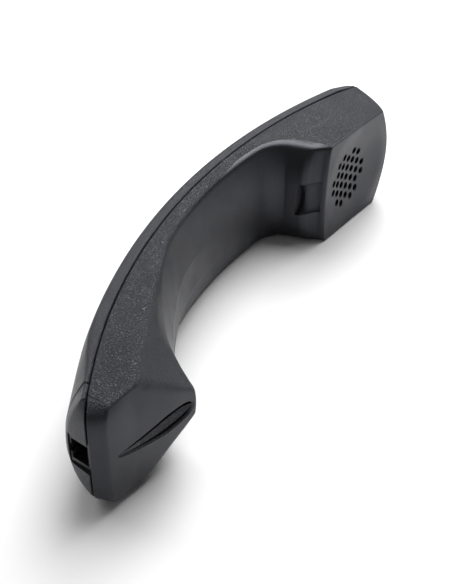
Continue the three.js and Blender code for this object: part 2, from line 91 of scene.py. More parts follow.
# The grip's side edge from the ear face to the mouthpiece, and the power of the curve across.
GRIP_LINE = [
    (-16.2, 0.0), (-16.8, 6.5), (-19.0, 12.5), (-23.4, 18.2), (-30.5, 21.3), (-44.0, 21.9),
    (-62.0, 20.4), (-82.0, 16.4), (-98.0, 11.2), (-112.0, 3.2), (-126.0, -7.2),
    (-134.3, -15.6), (-138.4, -22.4), (-140.0, -27.0),
]
GRIP_POWER = 2.8
EAR_POWER = 1.9
MOUTH_END_POWER = 7.0

# The microphone slot, from its pointed end to its round tip.
SLOT_POINT_X = -165.5
SLOT_TIP_X = -136.9
SLOT_HALF_WIDTH = 3.2
SLOT_DEPTH = 5.4

# The mouthpiece's sloping flats: a plane on each side, and where it eases away.
FLANK_NORMAL = (0.402, -0.619, 0.673)
FLANK_DISTANCE = -32.3
FLANK_START_X = -118.0

# The ear face's dish and holes.
DISH_X = 3.5
DISH_RADIUS = 20.3
DISH_DEPTH = 2.4
HOLE_PITCH = 4.1
HOLE_RADIUS = 1.35
HOLE_REACH = 11.0

# How far the cutters for the jack reach beyond the mouth end.
PAST_END = 20.0

# Edges that turn by more than this, in degrees, are shaded sharp.
SHARP_ANGLE = 32

# The camera's heading, look down and roll in degrees, how far right, up and ahead of it the
# earpiece holes lie, in hole pitches, and its lens in millimetres.
CAMERA_ANGLES = (52.82, 37.91, 0.58)
HOLES_FROM_CAMERA = (11.91, 11.05, 97.2)
CAMERA_LENS = 62.33

# Each softbox: its place and its target in metres, the length of its sides, and its watts.
SOFTBOXES = {
    "top_softbox": ((0.48, 0.12, 0.95), (0.05, 0.0, 0.0), 0.9, 14.5),
    "back_softbox": ((0.0, 0.95, 0.75), (0.05, 0.0, 0.0), 0.8, 4.2),
    "ear_softbox": ((0.55, 0.22, 0.50), (0.05, 0.0, 0.04), 0.34, 2.0),
}
WORLD_LIGHT = 0.13
BACKDROP = (0.86, 0.87, 0.88)
FLOOR_HALF = 0.8
FLOOR_GAP = 0.0001


def working_origin():
    """The middle of the earpiece holes on the ear face, found from the magnet behind it."""
    low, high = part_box("receiver_magnet")
    magnet_depth = 12.2 * MM
    return np.array([(low.x + high.x) / 2, low.y - magnet_depth, (low.z + high.z) / 2])


ORIGIN = working_origin()


def place(points):
    """Working millimetres to metres in the part's frame."""
    return np.asarray(points, float) * MM + ORIGIN


# ------------------------------------------------------------------ outline curves

def graded(count, grade=0.8):
    """count + 1 steps from 0 to 1 that crowd towards both ends."""
    s = np.linspace(0.0, 1.0, count + 1)
    return (1 - grade) * s + grade * (0.5 - 0.5 * np.cos(math.pi * s))


def seam_y(x, offset=0.0):
    """Height of the seam's arc, or of one that lies outside it by an offset."""
    x = np.asarray(x, float)
    radius = SEAM_RADIUS + offset
    return SEAM_CENTRE[1] + np.sqrt(radius ** 2 - (x - SEAM_CENTRE[0]) ** 2)


def on_seam(x, offset=0.0):
    """A point of that arc."""
    return x, float(seam_y(x, offset))


def half_at(x):
    """Half the width at the sides, which draw in a little towards the mouth end."""
    share = np.clip((MOUTH_TAPER_X - np.asarray(x, float)) / MOUTH_TAPER_LENGTH, 0.0, 1.0)
    return HALF_WIDTH - MOUTH_TAPER * share ** 1.4


def line(a, b, t):
    """Points of a straight line at shares t of its length."""
    a, b = np.array(a, float), np.array(b, float)
    return a + (b - a) * t[:, None]


def bezier(a, b, c, t):
    """A quadratic Bezier curve from a to c, which leans towards b."""
    return a * (1 - t) ** 2 + 2 * b * t * (1 - t) + c * t ** 2


def bend(a, b, c, t):
    """Points of such a curve at an array of shares t."""
    a, b, c = (np.array(p, float) for p in (a, b, c))
    return bezier(a, b, c, t[:, None])


def smooth_curve(points, t):
    """A centripetal Catmull-Rom curve through the points, at shares t of its length."""
    p = np.array(points, float)
    p = np.vstack([2 * p[0] - p[1], p, 2 * p[-1] - p[-2]])
    knots = np.concatenate([[0], np.cumsum(np.sqrt(np.linalg.norm(np.diff(p, axis=0), axis=1)))])
    fine = []
    for i in range(1, len(p) - 2):
        u = np.linspace(knots[i], knots[i + 1], 40, endpoint=False)[:, None]
        k0, k1, k2, k3 = knots[i - 1:i + 3]
        a1 = (k1 - u) / (k1 - k0) * p[i - 1] + (u - k0) / (k1 - k0) * p[i]
        a2 = (k2 - u) / (k2 - k1) * p[i] + (u - k1) / (k2 - k1) * p[i + 1]
        a3 = (k3 - u) / (k3 - k2) * p[i + 1] + (u - k2) / (k3 - k2) * p[i + 2]
        b1 = (k2 - u) / (k2 - k0) * a1 + (u - k0) / (k2 - k0) * a2
        b2 = (k3 - u) / (k3 - k1) * a2 + (u - k1) / (k3 - k1) * a3
        fine.append((k2 - u) / (k2 - k1) * b1 + (u - k1) / (k2 - k1) * b2)
    fine = np.vstack(fine + [p[-2:-1]])
    lengths = np.concatenate([[0], np.cumsum(np.linalg.norm(np.diff(fine, axis=0), axis=1))])
    at = t * lengths[-1]
    return np.stack([np.interp(at, lengths, fine[:, k]) for k in (0, 1)], axis=1)


def smoothstep(x, low, high):
    """0 below low, 1 above high, and an even curve between them."""
    t = np.clip((np.asarray(x, float) - low) / (high - low), 0.0, 1.0)
    return t * t * (3 - 2 * t)


def smooth_max(a, b, radius):
    """The larger of a and b, with the corner between them rounded off."""
    h = np.clip(0.5 + 0.5 * (a - b) / radius, 0.0, 1.0)
    return b + (a - b) * h + radius * h * (1 - h)


class Outline:
    """Matching side and middle outlines, with the half width, the power of the curve that
    joins them across the width, the side edge's rounding, and the width of a smooth band
    between that edge and the curve, at each step."""

    def __init__(self):
        self.parts = []
        self.corners = []

    def add(self, side, mid, half_width, power, rounding, band=0.0):
        count = len(side)
        columns = [np.broadcast_to(np.asarray(v, float), (count,)) for v in
                   (half_width, power, rounding, band)]
        rows = np.column_stack([side, mid] + columns)
        if self.parts:
            rows = rows[1:]
        self.parts.append(rows)

    def corner(self, reach):
        """Marks the last point as a corner to be rounded over that many steps each way."""
        self.corners.append((sum(len(p) for p in self.parts) - 1, reach))

    def finish(self):
        """Joins the parts and rounds the corners."""
        rows = np.vstack(self.parts)
        rounded = rows.copy()
        for at, reach in self.corners:
            t = np.linspace(0, 1, 2 * reach + 1)
            span = slice(at - reach, at + reach + 1)
            first, corner, last = rows[at - reach], rows[at], rows[at + reach]
            rounded[span, 0:4] = bend(first[0:4], corner[0:4], last[0:4], t)
        self.side, self.mid = rounded[:, 0:2], rounded[:, 2:4]
        self.half_width, self.power, self.rounding, self.band = rounded[:, 4:8].T
        return self

    def inset(self, distance, border):
        """The same outline set in by a distance, with its bends eased and its ends laid on the
        seam's surface."""
        made = Outline()
        made.side, made.mid = (offset_curve(c, distance) for c in (self.side, self.mid))
        for curve in (made.side, made.mid):
            curve[[0, -1], 1] = seam_y(curve[[0, -1], 0], border)
        made.half_width = self.half_width - distance
        made.power = self.power
        made.rounding = self.rounding + 0.8
        made.band = self.band
        return made

    def start(self, share):
        """The line where the curve across the width starts, a share of the band in."""
        towards = self.mid - self.side
        towards /= np.maximum(np.linalg.norm(towards, axis=1), 1e-6)[:, None]
        return self.side + towards * (self.band * share)[:, None]


def offset_curve(curve, distance):
    """An open curve moved to its left, and smoothed so that tight bends don't fold over."""
    along = np.gradient(curve, axis=0)
    along /= np.maximum(np.linalg.norm(along, axis=1), 1e-9)[:, None]
    normal = np.stack([-along[:, 1], along[:, 0]], axis=1)
    moved = curve + normal * distance
    ends = moved[[0, -1]].copy()
    smoothing_rounds = 160
    for _ in range(smoothing_rounds):
        moved[1:-1] = (moved[:-2] + 2 * moved[1:-1] + moved[2:]) / 4
    moved[[0, -1]] = ends
    return moved


def front_outline():
    """From the seam at the mouth end, over the mouthpiece and along the grip to the ear face,
    and back to the seam at the ear end."""
    outline = Outline()
    border = -SEAM_GAP / 2 - SEAM_CHAMFER
    # mouth end
    t = graded(14)
    outline.add(line(on_seam(MOUTH_SEAM_X[0], border), MOUTH_END[0], t),
                line(on_seam(MOUTH_SEAM_X[1], border), MOUTH_END[1], t),
                half_at(MOUTH_SEAM_X[0]), MOUTH_END_POWER, 0.9)
    outline.corner(5)
    # mouth face
    t = graded(62)
    side = line(MOUTH_END[0], MOUTH_TIP[0], t)
    outline.add(side, line(MOUTH_END[1], MOUTH_TIP[1], t), half_at(side[:, 0]),
                MOUTH_END_POWER - 5.0 * smoothstep(t, 0, 0.35), 1.4 + 1.8 * t ** 2)
    outline.corner(5)
    # grip
    t = graded(230, 0.35)
    side, mid, band, power = grip_curves(1 - t)
    lead_in = graded(6)
    outline.add(line(MOUTH_TIP[0], side[0], lead_in), line(MOUTH_TIP[1], mid[0], lead_in),
                HALF_WIDTH, 2.1, 3.2 + 0.6 * lead_in)
    rounding = 0.9 + 2.9 * smoothstep(1 - t, 0.76, 0.93) - 0.1 * smoothstep(t, 0.7, 1.0)
    outline.add(side, mid, HALF_WIDTH, power, rounding, band)
    outline.corner(5)
    # ear face
    t = graded(70, 0.85)
    outline.add(line((EAR_INNER_X[0], 0), (EAR_END_X[0], 0), t),
                line((EAR_INNER_X[1], 0), (EAR_END_X[1], 0), t),
                HALF_WIDTH - EAR_TAPER * t / 3, GRIP_POWER - (GRIP_POWER - EAR_POWER) * t,
                0.8 - 0.3 * t, band[-1] * (1 - smoothstep(t, 0.0, 0.12)))
    outline.corner(5)
    # ear end
    t = graded(44)
    outline.add(bend((EAR_END_X[0], 0), EAR_END_BEND[0], on_seam(EAR_SEAM_X[0], border), t),
                bend((EAR_END_X[1], 0), EAR_END_BEND[1], on_seam(EAR_SEAM_X[1], border), t),
                HALF_WIDTH - EAR_TAPER * (1 + 2 * t) / 3, EAR_POWER, 0.5)
    return outline.finish()


def grip_curves(t):
    """The grip's side and middle curves, its band and its power, at shares t of its length from
    the ear. The middle swells out from the side, most of all near the ear."""
    side = smooth_curve(GRIP_LINE, t)
    step = 1e-3
    along = smooth_curve(GRIP_LINE, np.clip(t + step, 0, 1))
    along = along - smooth_curve(GRIP_LINE, np.clip(t - step, 0, 1))
    along /= np.linalg.norm(along, axis=1)[:, None]
    out = np.stack([-along[:, 1], along[:, 0]], axis=1)
    swell = 2.7 + 6.2 * smoothstep(t, 0, 0.065) - 3.5 * smoothstep(t, 0.06, 0.22)
    mid = side + out * swell[:, None]
    start = smoothstep(t, 0.0, 0.03)[:, None]
    straight = np.array([EAR_INNER_X[1], 0.0]) + (side - np.array(GRIP_LINE[0])) * [0.7, 1.0]
    mid = straight * (1 - start) + mid * start
    band = 0.6 + 2.8 * smoothstep(t, 0, 0.045) - 2.2 * smoothstep(t, 0.06, 0.19)
    power = GRIP_POWER - 0.7 * smoothstep(t, 0.06, 0.22)
    return side, mid, band * (1 - smoothstep(t, 0.76, 0.9)), power


def back_outline():
    """From the seam at the ear end, along the crowned back, to the seam at the mouth end."""
    outline = Outline()
    border = SEAM_GAP / 2 + SEAM_CHAMFER
    ear_half = HALF_WIDTH - EAR_TAPER
    # ear end
    side_corner, mid_corner = BACK_EAR_CORNER
    t = graded(12)
    outline.add(line(on_seam(EAR_SEAM_X[0], border), side_corner, t),
                line(on_seam(EAR_SEAM_X[1], border), mid_corner, t), ear_half, 2.0, 0.9)
    outline.corner(5)
    # crowned back
    t = graded(260, 0.3)
    x = BACK_END_X[0] + (BACK_END_X[1] - BACK_END_X[0]) * t
    mid_x = x - 5.5 * t + 4.0 * (1 - t) ** 4
    edge = BACK_EDGE - 2.6 * smoothstep(-x, 146, 165)
    crown = BACK_CROWN + 0.6 * smoothstep(-x, 120, 155)
    side = np.stack([x, seam_y(x, edge)], axis=1)
    mid = np.stack([mid_x, seam_y(mid_x, crown)], axis=1)
    lead_in = graded(16)
    outline.add(line(side_corner, side[0], lead_in), line(mid_corner, mid[0], lead_in),
                ear_half + EAR_TAPER * lead_in, 2.0 + 0.6 * lead_in, 1.4)
    outline.add(side, mid, half_at(x), 2.6 - 0.4 * smoothstep(-x, 130, 163), 1.4)
    # mouth end
    end_side, end_mid = BACK_MOUTH_CORNER
    lead_out = graded(8)
    end_half = half_at(MOUTH_SEAM_X[0])
    outline.add(line(side[-1], end_side, lead_out), line(mid[-1], end_mid, lead_out),
                end_half, 2.2, 1.2)
    outline.corner(3)
    t = graded(14)
    outline.add(line(end_side, on_seam(MOUTH_SEAM_X[0], border), t),
                line(end_mid, on_seam(MOUTH_SEAM_X[1], border), t), end_half, 2.2 + 4.8 * t, 0.6)
    return outline.finish()


# ------------------------------------------------------------------ skins

def flank_y(x, z):
    """Height of the sloping flats of the mouthpiece, easing away before the handle."""
    a, b, c = FLANK_NORMAL
    easing = 0.03
    lift = easing * np.maximum(0.0, x - FLANK_START_X) ** 2
    return (a * x + c * np.abs(z) - FLANK_DISTANCE) / -b - lift


def dish_y(x, z):
    """Height of the ear face's round dish, which is part of a sphere."""
    sphere = (DISH_RADIUS ** 2 + DISH_DEPTH ** 2) / (2 * DISH_DEPTH)
    reach = np.clip((x - DISH_X) ** 2 + z ** 2, 0, (DISH_RADIUS + 12) ** 2)
    return np.sqrt(sphere ** 2 - reach) - (sphere - DISH_DEPTH)


def front_surface(outline, z, inset, band_share=1.0):
    """Points of the front skin at heights z, one row of z for each step of the outline."""
    half = outline.half_width[:, None]
    blend = 1 - np.clip(np.abs(z) / half, 0, 1) ** outline.power[:, None]
    depth = -outline.side[:, 0]
    lower_grip = smoothstep(depth, 62, 92) * (1 - smoothstep(depth, 122, 134))
    start = outline.start(band_share)
    x = start[:, :1] + (outline.mid[:, :1] - start[:, :1]) * blend
    y = start[:, 1:] + (outline.mid[:, 1:] - start[:, 1:]) * blend
    y = y - creases(np.abs(z)) * lower_grip[:, None]
    flank_rounding = 0.8 + 1.4 * (1 - smoothstep(outline.mid[:, :1], -146, -136))
    y = smooth_max(y, flank_y(x, z) + inset / -FLANK_NORMAL[1], flank_rounding)
    y = np.where(x > -19, smooth_max(y, dish_y(x, z) + inset, 0.5), y)
    return np.stack([x, y, z], axis=-1)


def creases(z):
    """Two low ridges that border a flat strip along the middle of the grip, in mm."""
    strip, height, spread = 6.0, 0.6, 2.6
    away = np.abs(z - strip)
    return height * np.exp(-away / spread)


def back_surface(outline, z, inset, band_share=1.0):
    """Points of the rear skin, laid out as the front skin's are. The outline alone gives its
    shape, so it has nothing else to set in."""
    u = np.clip(np.abs(z) / outline.half_width[:, None], 0, 1)
    blend = 1 - u ** outline.power[:, None]
    start = outline.start(band_share)
    x = start[:, :1] + (outline.mid[:, :1] - start[:, :1]) * blend
    y = start[:, 1:] + (outline.mid[:, 1:] - start[:, 1:]) * blend
    return np.stack([x, y, z], axis=-1)


def skin(outline, surface, border, cross_steps, inset=0.0):
    """A skin as a grid: along the outline, and across from side to side. Two curves round each
    side edge: they join on the line from edge to crest, and end in the surface further in."""
    half = outline.half_width[:, None]
    rounding = outline.rounding[:, None]
    reach, join, most_of_side = 2.2, 0.6, 0.45
    side_steps, curve_steps = graded(16, 0.5)[:-1], np.linspace(0, 1, 8)[:-1]
    middle = surface(outline, cross_steps[None, :] * (half - reach * rounding), inset)
    sides = []
    for sign in (-1, 1):
        edge = surface(outline, sign * half, inset, 0.0)[:, 0]
        crest = surface(outline, sign * (half - rounding), inset)[:, 0]
        inner = surface(outline, sign * (half - reach * rounding), inset)[:, 0]
        foot = edge.copy()
        foot[:, 1] = seam_y(edge[:, 0], border)
        drop = foot - edge
        length = np.linalg.norm(drop, axis=1)[:, None]
        share = np.minimum(rounding, most_of_side * length) / np.maximum(length, 1e-9)
        below = edge + drop * share
        between = edge + (crest - edge) * join
        rows = [foot + (below - foot) * t for t in side_steps]
        rows += [bezier(below, edge, between, t) for t in curve_steps]
        rows += [bezier(between, crest, inner, t) for t in curve_steps]
        sides.append(rows)
    left = np.stack(sides[0], axis=1)
    right = np.stack(sides[1][::-1], axis=1)
    return np.concatenate([left, middle, right], axis=1)


def with_rim(grid, border, set_in):
    """The grid with one more ring: its border drawn in, and laid on the seam's surface."""
    grid = np.pad(grid, ((1, 1), (1, 1), (0, 0)), mode="edge")
    low, high = grid[..., 0].min(), grid[..., 0].max()
    middle, half = (low + high) / 2, (high - low) / 2
    for ring in (grid[0], grid[-1], grid[1:-1, 0], grid[1:-1, -1]):
        ring[:, 0] = middle + (ring[:, 0] - middle) * (1 - set_in / half)
        ring[:, 2] *= 1 - set_in / HALF_WIDTH
        ring[:, 1] = seam_y(ring[:, 0], border)
    return grid


def relax(grid, rounds=12):
    """Evens out a grid, away from its border."""
    for _ in range(rounds):
        mean = (grid[:-2, 1:-1] + grid[2:, 1:-1] + grid[1:-1, :-2] + grid[1:-1, 2:]) / 4
        grid[1:-1, 1:-1] = mean
    return grid


def mesh_object(name, points, faces):
    """A piece from points in metres and faces, linked to the scene."""
    mesh = bpy.data.meshes.new(name)
    mesh.from_pydata(np.asarray(points).tolist(), [], faces)
    mesh.update()
    piece = bpy.data.objects.new(name, mesh)
    bpy.context.scene.collection.objects.link(piece)
    return piece


def face_outwards(piece, merge=0.0):
    """Turns all faces outwards, after merging the points that lie closer together than merge."""
    bm = bmesh.new()
    bm.from_mesh(piece.data)
    if merge:
        bmesh.ops.remove_doubles(bm, verts=bm.verts, dist=merge)
    bmesh.ops.recalc_face_normals(bm, faces=bm.faces)
    bm.to_mesh(piece.data)
    bm.free()
    return piece


def shell_object(name, outer, inner):
    """A closed shell from its outer and inner grids, which have the same shape."""
    count, width = outer.shape[:2]
    points = place(np.concatenate([outer.reshape(-1, 3), inner.reshape(-1, 3)]))
    ids = np.arange(count * width).reshape(count, width)
    back = ids + count * width
    quads = [np.stack([ids[:-1, :-1], ids[1:, :-1], ids[1:, 1:], ids[:-1, 1:]], -1).reshape(-1, 4),
             np.stack([back[:-1, :-1], back[:-1, 1:], back[1:, 1:], back[1:, :-1]], -1).reshape(-1, 4)]
    border = np.concatenate([ids[0, :], ids[1:, -1], ids[-1, -2::-1], ids[-2:0:-1, 0]])
    after = np.roll(border, -1)
    quads.append(np.stack([border, after, after + count * width, border + count * width], -1))
    same_point = 0.001 * MM
    return face_outwards(mesh_object(name, points, np.concatenate(quads).tolist()), same_point)


# ------------------------------------------------------------------ cutters

def revolve(profile, axis_point, sides):
    """A closed solid turned about a line along Y, from (radius, y) pairs, in working mm."""
    angles = np.arange(sides) * 2 * math.pi / sides
    rings = [[(axis_point[0] + r * math.cos(a), y, axis_point[1] + r * math.sin(a))
              for a in angles] for r, y in profile]
    points = [p for ring in rings for p in ring]
    faces = []
    for k in range(len(profile) - 1):
        for i in range(sides):
            j = (i + 1) % sides
            faces.append((k * sides + i, k * sides + j, (k + 1) * sides + j, (k + 1) * sides + i))
    faces.append(tuple(range(sides))[::-1])
    faces.append(tuple((len(profile) - 1) * sides + i for i in range(sides)))
    return points, faces


def joined(name, solids):
    """One cutter from several closed solids."""
    points, faces = [], []
    for some_points, some_faces in solids:
        start = len(points)
        points.extend(some_points)
        faces.extend(tuple(i + start for i in face) for face in some_faces)
    return face_outwards(mesh_object(name, place(points), faces))


def cut(piece, cutter):
    """Takes the cutter's solids out of a piece, and shades it smooth between sharp edges."""
    boolean = piece.modifiers.new("cut", "BOOLEAN")
    boolean.operation = "DIFFERENCE"
    boolean.solver = "EXACT"
    boolean.object = cutter
    with bpy.context.temp_override(object=piece, active_object=piece):
        bpy.ops.object.modifier_apply(modifier=boolean.name)
    bpy.data.objects.remove(cutter)
    piece.data.polygons.foreach_set("use_smooth", [True] * len(piece.data.polygons))
    piece.data.set_sharp_from_angle(angle=math.radians(SHARP_ANGLE))


def hole_centres():
    """The earpiece holes: rows half a pitch out of step, within a circle."""
    centres = []
    for row in range(-3, 4):
        for place_in_row in range(-4, 5):
            x = row * HOLE_PITCH * math.sqrt(3) / 2
            z = (place_in_row + 0.5 * (row % 2)) * HOLE_PITCH
            if math.hypot(x, z) < HOLE_REACH:
                centres.append((x, z))
    return centres


def hole_cutters():
    """A drill for each hole, with a flared top that breaks the hole's edge."""
    flare, above, break_depth, reach, sides = 1.2, 1.1, 0.12, 12, 20
    solids = []
    for x, z in hole_centres():
        y = float(dish_y(np.array(x), np.array(z)))
        profile = [(HOLE_RADIUS + flare, y - above), (HOLE_RADIUS, y + break_depth),
                   (HOLE_RADIUS, y + reach)]
        solids.append(revolve(profile, (x, z), sides))
    return solids


def prism(outline, z0, z1):
    """A solid from an outline in X and Y, between z0 and z1."""
    count = len(outline)
    points = [(x, y, z0) for x, y in outline] + [(x, y, z1) for x, y in outline]
    faces = [tuple(range(count))[::-1], tuple(range(count, 2 * count))]
    faces += [(i, (i + 1) % count, (i + 1) % count + count, i + count) for i in range(count)]
    return points, faces


# ------------------------------------------------------------------ shells

def front_shell():
    """The front shell, whose cavity stands clear of the hook pocket and of the slot."""
    outline = front_outline()
    steps = symmetric_steps(46)
    gap = -SEAM_GAP / 2
    outer = with_rim(skin(outline, front_surface, gap - SEAM_CHAMFER, steps), gap, SEAM_CHAMFER)
    inner = skin(outline.inset(WALL, gap), front_surface, gap, steps, WALL)
    x, z = inner[..., 0], inner[..., 2]
    hook = smoothstep(x, -34, -27) * (1 - smoothstep(x, -16, -8)) * (1 - smoothstep(np.abs(z), 9, 13))
    slot = (1 - smoothstep(x, -136, -130)) * (1 - smoothstep(np.abs(z), 5, 9))
    inner[..., 0] += 4.0 * hook
    inner[..., 1] += 4.6 * slot + 2.0 * hook
    piece = shell_object("front_shell_skin", outer, with_rim(relax(inner), gap, 0.0))
    well, rim = slot_solids()
    cutters = hole_cutters() + [hook_pocket(), well, jack_room()]
    cut(piece, joined("front_cutters", cutters))
    cut(piece, joined("slot_rim_cutter", [rim, latch_notch()]))
    return piece


def symmetric_steps(count):
    """Steps from -1 to 1 that crowd towards both ends."""
    half = 1 - (1 - np.linspace(0, 1, count + 1)) ** 1.3
    return np.concatenate([-half[::-1], half[1:]])


def hook_pocket():
    """A scoop in the wall between earpiece and handle, deeper further from the ear face."""
    top, bottom, half = 1.6, 8.4, 7.1
    outside, past_wall = 12.0, 0.5
    across = np.linspace(-1, 1, 25)
    down = np.linspace(0, 1, 9)
    _, wall, _, _ = grip_curves(np.linspace(0, 0.16, 60))
    points = []
    for share in down:
        y = top + (bottom - top) * share
        wall_x = float(np.interp(y, wall[:, 1], wall[:, 0]))
        depth = 1.4 + 3.4 * share
        for v in across:
            scoop = (depth + past_wall) * math.sqrt(1 - v * v)
            points.append((wall_x - past_wall + scoop, y, half * v))
    points += [(x - outside, y, z) for x, y, z in points]
    return grid_block(points, len(down), len(across))


def grid_block(points, rows, columns):
    """A closed block between two grids of points with the same rows and columns."""
    count = rows * columns
    ids = np.arange(count).reshape(rows, columns)
    faces = []
    for i in range(rows - 1):
        for j in range(columns - 1):
            quad = (ids[i, j], ids[i + 1, j], ids[i + 1, j + 1], ids[i, j + 1])
            faces.append(tuple(int(k) for k in quad))
            faces.append(tuple(int(k) + count for k in quad[::-1]))
    border = [*ids[0, :], *ids[1:, -1], *ids[-1, -2::-1], *ids[-2:0:-1, 0]]
    for a, b in zip(border, border[1:] + border[:1]):
        faces.append((int(a), int(b), int(b) + count, int(a) + count))
    return points, faces


def slot_solids():
    """The microphone slot: pointed at one end and round at the other. A sloping ledge stands in
    it beside one rim, with a narrow groove between them, and the rims are slightly broken."""
    lean_z, groove = -0.9, 2.2
    outside_y, rim_below, rim_above, rim_widening = -40.0, 0.2, 0.4, 0.6
    profile = [(1.0, SLOT_DEPTH), (0.22, SLOT_DEPTH), (0.2, 1.5), (-0.72, 0.75),
               (-0.75, groove), (-1.0, groove)]
    share = graded(34, 0.9)
    x = SLOT_POINT_X + (SLOT_TIP_X - SLOT_POINT_X) * share
    pointed_end = np.minimum(1.0, 1.45 * share ** 0.8)
    round_end = np.sqrt(np.clip(1 - share ** 9, 0, 1))
    width = np.maximum(SLOT_HALF_WIDTH * pointed_end * round_end, 0.02)

    def layer(depths, widen):
        """The slot's cross-sections in a row, from pairs of a place across and a depth."""
        points = []
        for xi, wi, si in zip(x, width, share):
            depth_share = min(1.0, wi / SLOT_HALF_WIDTH) * (0.4 + 0.6 * si)
            for v, depth in depths:
                z = lean_z * math.sin(math.pi * si) + (wi + widen) * v
                face = mouth_face_y(xi, z)
                points.append((xi + widen * (2 * si - 1), face + depth * depth_share, z))
        return points

    floor = layer(profile, 0.0)
    top = [(px, outside_y, pz) for px, _, pz in floor]
    flat = [(v, 0.0) for v, _ in profile]
    low = [(px, py + rim_below, pz) for px, py, pz in layer(flat, 0.0)]
    high = [(px, py - rim_above, pz) for px, py, pz in layer(flat, rim_widening)]
    well, rim = (grid_block(points, len(share), len(profile)) for points in (floor + top, low + high))
    return well, rim


def mouth_face_y(x, z):
    """Height of the mouth face where the slot lies: sloping along X and crowned across."""
    start_x, start_y, slope, crown = -135.3, -30.75, 0.11, 0.0063
    return start_y - slope * (x - start_x) + crown * z * z


def sparkle_grain_slot_ledge(piece):
    """Gives the faces down in the slot the piece's second material, which is grained all over, so that
    its painted sparkle highlights lighten the whole ledge.
    """
    margin, beside, highest, lowest = 0.5, 1.0, 0.35, 1.9
    centres = np.empty(len(piece.data.polygons) * 3)
    piece.data.polygons.foreach_get("center", centres)
    x, y, z = ((centres.reshape(-1, 3) - ORIGIN) / MM).T
    down = y - mouth_face_y(x, z)
    inside = (x > SLOT_POINT_X - margin) & (x < SLOT_TIP_X + margin)
    inside &= (np.abs(z) < SLOT_HALF_WIDTH + beside) & (down > highest) & (down < lowest)
    piece.data.polygons.foreach_set("material_index", inside.astype(np.int32))


def latch_notch():
    """A step in the front shell's edge that leaves room for the plug's latch."""
    depth, half, reach, overlap = 1.1, 4.6, 5.0, 2.0
    low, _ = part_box("jack_housing")
    x, y, _ = (np.array(low) - ORIGIN) / MM
    outline = [(x - PAST_END, y - depth), (x + reach, y - depth), (x + reach, y + overlap),
               (x - PAST_END, y + overlap)]
    return prism(outline, -half, half)


def jack_room():
    """The opening around the jack, for the cord's plug."""
    low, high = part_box("jack_housing")
    clear = 0.15
    a = (np.array(low) - ORIGIN) / MM - clear
    b = (np.array(high) - ORIGIN) / MM + clear
    outline = [(a[0] - PAST_END, a[1]), (b[0], a[1]), (b[0], b[1]), (a[0] - PAST_END, b[1])]
    return prism(outline, a[2], b[2])


def rear_shell():
    """The rear shell, cut away around the jack."""
    outline = back_outline()
    steps = symmetric_steps(40)
    gap = SEAM_GAP / 2
    outer = with_rim(skin(outline, back_surface, gap + SEAM_CHAMFER, steps), gap, SEAM_CHAMFER)
    inner = skin(outline.inset(WALL, gap), back_surface, gap, steps, WALL)
    piece = shell_object("rear_shell_skin", outer, with_rim(relax(inner), gap, 0.0))
    cut(piece, joined("rear_cutters", [jack_room()]))
    return piece


# ------------------------------------------------------------------ materials

